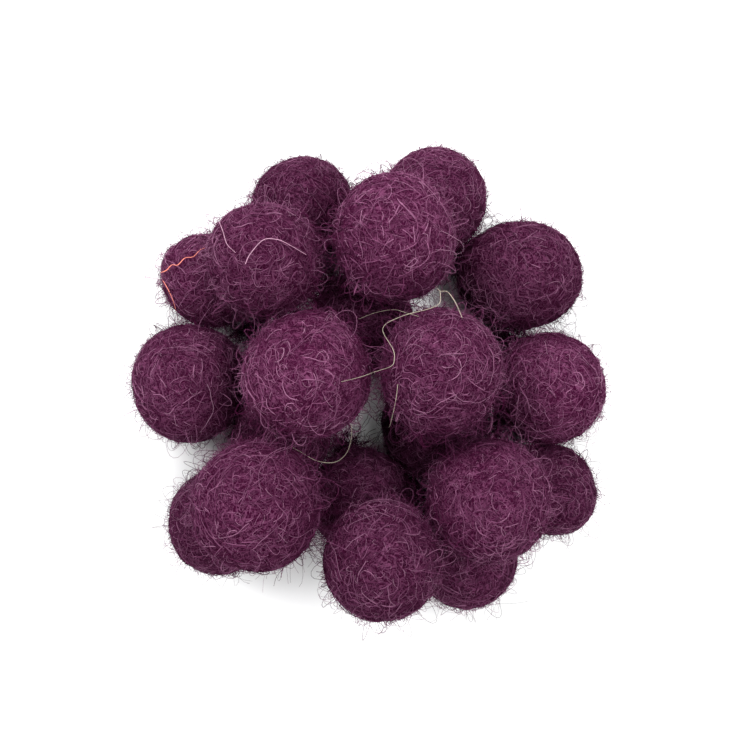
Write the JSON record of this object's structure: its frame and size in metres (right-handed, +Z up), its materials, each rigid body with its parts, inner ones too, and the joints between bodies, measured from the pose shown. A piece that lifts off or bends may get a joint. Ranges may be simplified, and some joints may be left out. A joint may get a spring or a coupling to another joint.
{
  "type": "felted wool ball heap",
  "caption": "Loose two-layer heap of small solid felted wool balls; upper and rim balls lift off, and loaded rim balls draw out sideways.",
  "frame": {"origin": "on the surface that the heap lies on, under the middle of the heap's outline", "axes": "+Z up, +X to the right and +Y to the back of the heap as it is seen from above"},
  "size_m": [0.1094, 0.1072, 0.0466],
  "materials": {
    "plum_felt": "fuzzy hand-felted wool, matt, with loose curled fibres standing off the surface"
  },
  "bodies": {
    "heap_core": {"lower_front_middle": "plum_felt", "lower_middle_back": "plum_felt", "lower_middle_front": "plum_felt", "lower_left_inner": "plum_felt"},
    "upper_left_back_ball": {"upper_left_back": "plum_felt"},
    "upper_back_ball": {"upper_back": "plum_felt"},
    "upper_left_ball": {"upper_left": "plum_felt"},
    "upper_right_ball": {"upper_right": "plum_felt"},
    "upper_right_front_ball": {"upper_right_front": "plum_felt"},
    "upper_left_front_ball": {"upper_left_front": "plum_felt"},
    "upper_front_ball": {"upper_front": "plum_felt"},
    "lower_left_ball": {"lower_left": "plum_felt"},
    "lower_right_ball": {"lower_right": "plum_felt"},
    "lower_right_back_ball": {"lower_right_back": "plum_felt"},
    "lower_back_left_ball": {"lower_back_left": "plum_felt"},
    "lower_back_right_ball": {"lower_back_right": "plum_felt"},
    "lower_left_back_ball": {"lower_left_back": "plum_felt"},
    "lower_front_left_ball": {"lower_front_left": "plum_felt"},
    "lower_front_right_ball": {"lower_front_right": "plum_felt"},
    "lower_right_front_ball": {"lower_right_front": "plum_felt"}
  },
  "joints": [
    {"name": "upper_left_back_lift", "type": "slide", "parent": "heap_core", "child": "upper_left_back_ball", "axis": [0, 0, 1], "range_m": [0, 0.06]},
    {"name": "upper_back_lift", "type": "slide", "parent": "heap_core", "child": "upper_back_ball", "axis": [0, 0, 1], "range_m": [0, 0.06]},
    {"name": "upper_left_lift", "type": "slide", "parent": "heap_core", "child": "upper_left_ball", "axis": [0, 0, 1], "range_m": [0, 0.06]},
    {"name": "upper_right_lift", "type": "slide", "parent": "heap_core", "child": "upper_right_ball", "axis": [0, 0, 1], "range_m": [0, 0.06]},
    {"name": "upper_right_front_lift", "type": "slide", "parent": "heap_core", "child": "upper_right_front_ball", "axis": [0, 0, 1], "range_m": [0, 0.06]},
    {"name": "upper_left_front_lift", "type": "slide", "parent": "heap_core", "child": "upper_left_front_ball", "axis": [0, 0, 1], "range_m": [0, 0.06]},
    {"name": "upper_front_lift", "type": "slide", "parent": "heap_core", "child": "upper_front_ball", "axis": [0, 0, 1], "range_m": [0, 0.06]},
    {"name": "lower_left_lift", "type": "slide", "parent": "heap_core", "child": "lower_left_ball", "axis": [0, 0, 1], "range_m": [0, 0.06]},
    {"name": "lower_right_lift", "type": "slide", "parent": "heap_core", "child": "lower_right_ball", "axis": [0, 0, 1], "range_m": [0, 0.06]},
    {"name": "lower_right_back_lift", "type": "slide", "parent": "heap_core", "child": "lower_right_back_ball", "axis": [0, 0, 1], "range_m": [0, 0.06]},
    {"name": "lower_back_left_draw", "type": "slide", "parent": "heap_core", "child": "lower_back_left_ball", "axis": [-0.4226, 0.9063, 0], "range_m": [0, 0.04]},
    {"name": "lower_back_right_draw", "type": "slide", "parent": "heap_core", "child": "lower_back_right_ball", "axis": [0.342, 0.9397, 0], "range_m": [0, 0.04]},
    {"name": "lower_left_back_draw", "type": "slide", "parent": "heap_core", "child": "lower_left_back_ball", "axis": [-0.866, 0.5, 0], "range_m": [0, 0.04]},
    {"name": "lower_front_left_draw", "type": "slide", "parent": "heap_core", "child": "lower_front_left_ball", "axis": [-0.7071, -0.7071, 0], "range_m": [0, 0.04]},
    {"name": "lower_front_right_draw", "type": "slide", "parent": "heap_core", "child": "lower_front_right_ball", "axis": [0.4226, -0.9063, 0], "range_m": [0, 0.04]},
    {"name": "lower_right_front_draw", "type": "slide", "parent": "heap_core", "child": "lower_right_front_ball", "axis": [0.866, -0.5, 0], "range_m": [0, 0.04]}
  ]
}
